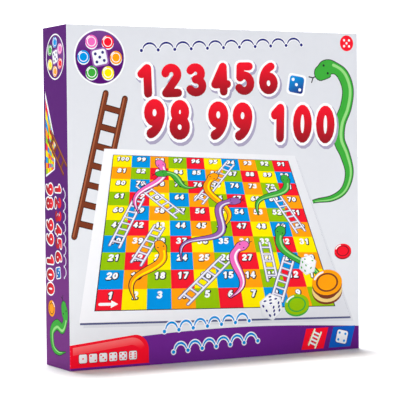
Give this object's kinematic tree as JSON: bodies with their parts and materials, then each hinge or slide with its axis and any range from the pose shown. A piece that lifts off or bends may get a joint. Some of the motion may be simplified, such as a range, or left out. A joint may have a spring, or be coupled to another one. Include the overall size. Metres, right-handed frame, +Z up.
{
  "type": "boxed snakes and ladders game",
  "caption": "Square lift-off-lid card box standing on its side, with a folded card insert that holds a folding game board, a rules leaflet, round counters and dice.",
  "frame": {"origin": "middle of the lower side that the closed box stands on", "axes": "+X to the right as the lid is looked at, +Y from the lid's face to the tray's bottom, +Z up"},
  "size_m": [0.268, 0.048, 0.268],
  "materials": {
    "greyboard": "matt recycled board",
    "lid_print": "varnished print",
    "stay_paper": "matt brown paper",
    "tray_print": "varnished print",
    "insert_card": "white-lined card",
    "board_print": "varnished print",
    "board_back": "matt embossed paper",
    "leaflet_paper": "matt uncoated paper",
    "red_plastic": "moulded gloss",
    "blue_plastic": "moulded gloss",
    "green_plastic": "moulded gloss",
    "yellow_plastic": "moulded gloss",
    "die_plastic": "moulded gloss with painted pips"
  },
  "bodies": {
    "tray": {"tray_board": "greyboard", "tray_wrap": "tray_print", "tray_corner_stays": "stay_paper"},
    "lid": {"lid_board": "greyboard", "lid_wrap": "lid_print", "lid_corner_stays": "stay_paper"},
    "insert": {"insert_frame": "insert_card", "insert_dividers": "insert_card", "board_platform": "insert_card", "leaflet_platform": "insert_card", "dice_platform": "insert_card", "counter_platform": "insert_card"},
    "board_base": {"base_panel": "greyboard", "base_face_sheet": "board_print", "base_back_sheet": "board_back", "board_fold": "board_print"},
    "board_leaf": {"leaf_panel": "greyboard", "leaf_face_sheet": "board_print", "leaf_back_sheet": "board_back"},
    "leaflet_base": {"leaflet_rear": "leaflet_paper", "leaflet_fold": "leaflet_paper"},
    "leaflet_cover": {"leaflet_front": "leaflet_paper"},
    "red_counter": {"counter_red": "red_plastic"},
    "blue_counter": {"counter_blue": "blue_plastic"},
    "green_counter": {"counter_green": "green_plastic"},
    "yellow_counter": {"counter_yellow": "yellow_plastic"},
    "first_die": {"die_one": "die_plastic"},
    "second_die": {"die_two": "die_plastic"}
  },
  "joints": [
    {"name": "lid_slide", "type": "slide", "parent": "tray", "child": "lid", "axis": [0, -1, 0], "range_m": [0, 0.55]},
    {"name": "insert_slide", "type": "slide", "parent": "tray", "child": "insert", "axis": [0, -1, 0], "range_m": [0, 0.05]},
    {"name": "board_slide", "type": "slide", "parent": "insert", "child": "board_base", "axis": [0, -1, 0], "range_m": [0, 0.034]},
    {"name": "board_hinge", "type": "hinge", "parent": "board_base", "child": "board_leaf", "pos_m": [-0.12665, -0.0187, 0.13105], "axis": [0, 0, -1], "range_deg": [0, 180]},
    {"name": "leaflet_slide", "type": "slide", "parent": "insert", "child": "leaflet_base", "axis": [0, -1, 0], "range_m": [0, 0.034]},
    {"name": "leaflet_hinge", "type": "hinge", "parent": "leaflet_base", "child": "leaflet_cover", "pos_m": [0.12725, -0.02055, 0.09335], "axis": [0, 0, 1], "range_deg": [0, 180]},
    {"name": "red_counter_slide", "type": "slide", "parent": "insert", "child": "red_counter", "axis": [0, -1, 0], "range_m": [0, 0.023]},
    {"name": "blue_counter_slide", "type": "slide", "parent": "insert", "child": "blue_counter", "axis": [0, -1, 0], "range_m": [0, 0.023]},
    {"name": "green_counter_slide", "type": "slide", "parent": "insert", "child": "green_counter", "axis": [0, -1, 0], "range_m": [0, 0.023]},
    {"name": "yellow_counter_slide", "type": "slide", "parent": "insert", "child": "yellow_counter", "axis": [0, -1, 0], "range_m": [0, 0.023]},
    {"name": "first_die_slide", "type": "slide", "parent": "insert", "child": "first_die", "axis": [0, -1, 0], "range_m": [0, 0.034]},
    {"name": "second_die_slide", "type": "slide", "parent": "insert", "child": "second_die", "axis": [0, -1, 0], "range_m": [0, 0.034]}
  ],
  "couplings": [
    {"joint": "insert_slide", "follows": "lid_slide", "ratio": 0.09},
    {"joint": "board_slide", "follows": "lid_slide", "ratio": 0.06},
    {"joint": "board_hinge", "follows": "lid_slide", "rad_per_m": 5.7119},
    {"joint": "leaflet_slide", "follows": "lid_slide", "ratio": 0.06},
    {"joint": "leaflet_hinge", "follows": "lid_slide", "rad_per_m": 5.7119},
    {"joint": "red_counter_slide", "follows": "lid_slide", "ratio": 0.04},
    {"joint": "blue_counter_slide", "follows": "lid_slide", "ratio": 0.04},
    {"joint": "green_counter_slide", "follows": "lid_slide", "ratio": 0.04},
    {"joint": "yellow_counter_slide", "follows": "lid_slide", "ratio": 0.04},
    {"joint": "first_die_slide", "follows": "lid_slide", "ratio": 0.06},
    {"joint": "second_die_slide", "follows": "lid_slide", "ratio": 0.06}
  ]
}
